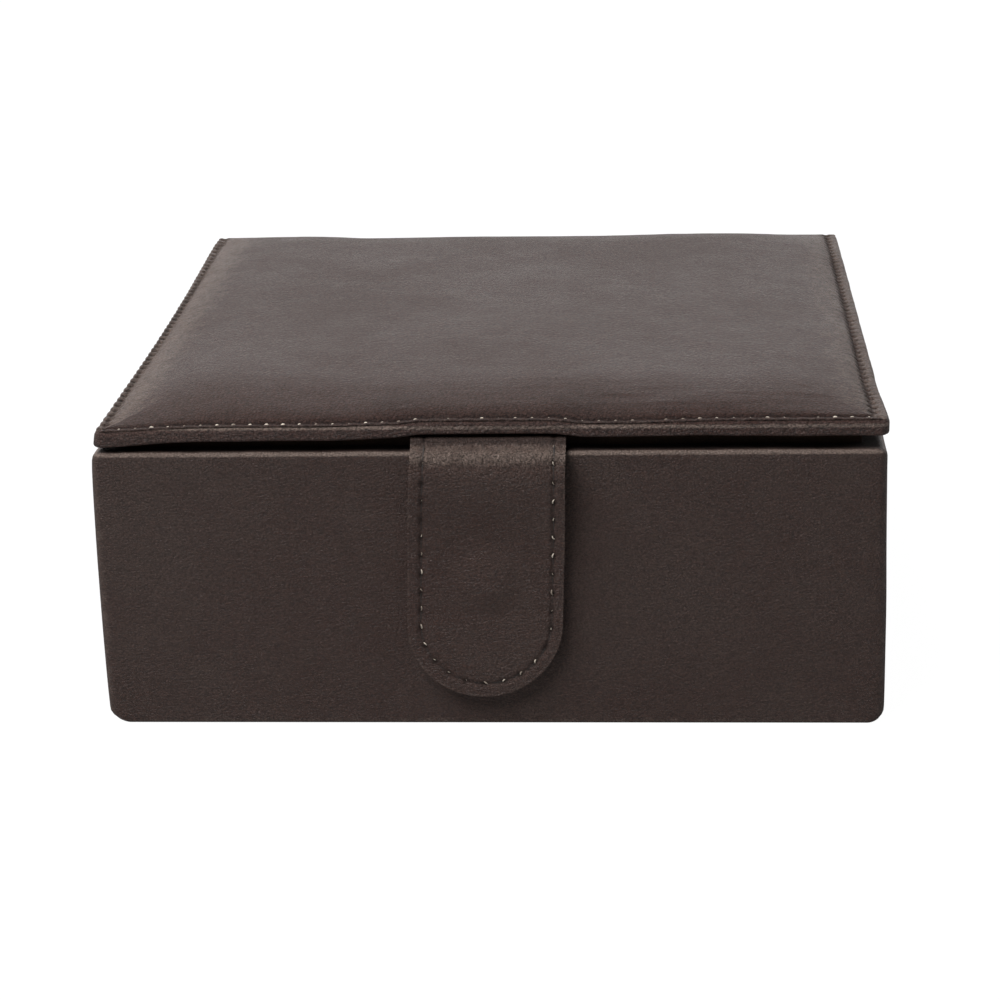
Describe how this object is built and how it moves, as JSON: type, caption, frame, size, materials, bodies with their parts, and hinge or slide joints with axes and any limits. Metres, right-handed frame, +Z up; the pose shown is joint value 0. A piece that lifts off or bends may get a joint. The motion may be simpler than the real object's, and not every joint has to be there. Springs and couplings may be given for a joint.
{
  "type": "cufflink box with drawer",
  "caption": "Square leather-covered cufflink box: padded lid on a leather spine, snap strap at the front, divided suede tray, shallow drawer sliding out of one side.",
  "frame": {"origin": "on the table under the middle of the body, on the felt's lower face", "axes": "+X to the right, +Y to the rear, +Z up; the strap is on the -Y face and the drawer leaves towards -X"},
  "size_m": [0.174, 0.1753, 0.0703],
  "materials": {
    "cover_leather": "fine grain, satin",
    "strap_lining_leather": "fine grain, matte",
    "board": "pressed fibre board, matte",
    "suede": "short nap suede",
    "felt": "wool felt",
    "foam": "open foam",
    "snap_metal": "burnished"
  },
  "bodies": {
    "body": {"base_felt": "felt", "base_board": "board", "front_board": "board", "back_board": "board", "left_board": "board", "right_board": "board", "body_leather": "cover_leather", "back_leather": "cover_leather", "drawer_guide_front": "board", "drawer_guide_rear": "board", "bay_lining": "suede", "drawer_stop": "board", "shelf_board": "board", "snap_stud": "snap_metal", "snap_stud_rivet": "snap_metal", "tray_pad": "suede", "tray_liner_front": "suede", "tray_liner_rear": "suede", "tray_liner_left": "suede", "tray_liner_right": "suede", "long_divider_1": "suede", "long_divider_2": "suede", "long_divider_3": "suede", "cross_divider_1": "suede", "cross_divider_2": "suede", "cross_divider_3": "suede", "spine_leather": "cover_leather", "hinge_strip": "suede"},
    "lid": {"lid_board": "board", "lid_edge_wrap": "cover_leather", "lid_foam": "foam", "lid_top_leather": "cover_leather", "lid_lining": "suede", "strap_anchor": "strap_lining_leather"},
    "strap": {"strap_fold": "cover_leather", "strap_outer_leather": "cover_leather", "strap_inner_leather": "strap_lining_leather", "snap_socket": "snap_metal", "snap_cap": "snap_metal"},
    "drawer": {"drawer_front_board": "board", "drawer_front_leather": "cover_leather", "pull_tab": "cover_leather", "drawer_side_front": "board", "drawer_side_rear": "board", "drawer_end": "board", "drawer_bottom": "board", "drawer_pad": "suede", "drawer_long_divider": "suede", "drawer_cross_divider": "suede"}
  },
  "joints": [
    {"name": "lid_hinge", "type": "hinge", "parent": "body", "child": "lid", "pos_m": [0, 0.0855, 0.0621], "axis": [-1, 0, 0], "range_deg": [0, 110], "deforming": ["spine_leather", "hinge_strip"]},
    {"name": "strap_swing", "type": "hinge", "parent": "lid", "child": "strap", "pos_m": [0, -0.08707, 0.06297], "axis": [-1, 0, 0], "range_deg": [0, 150], "deforming": ["strap_fold"]},
    {"name": "drawer_slide", "type": "slide", "parent": "body", "child": "drawer", "axis": [-1, 0, 0], "range_m": [0, 0.111]}
  ]
}
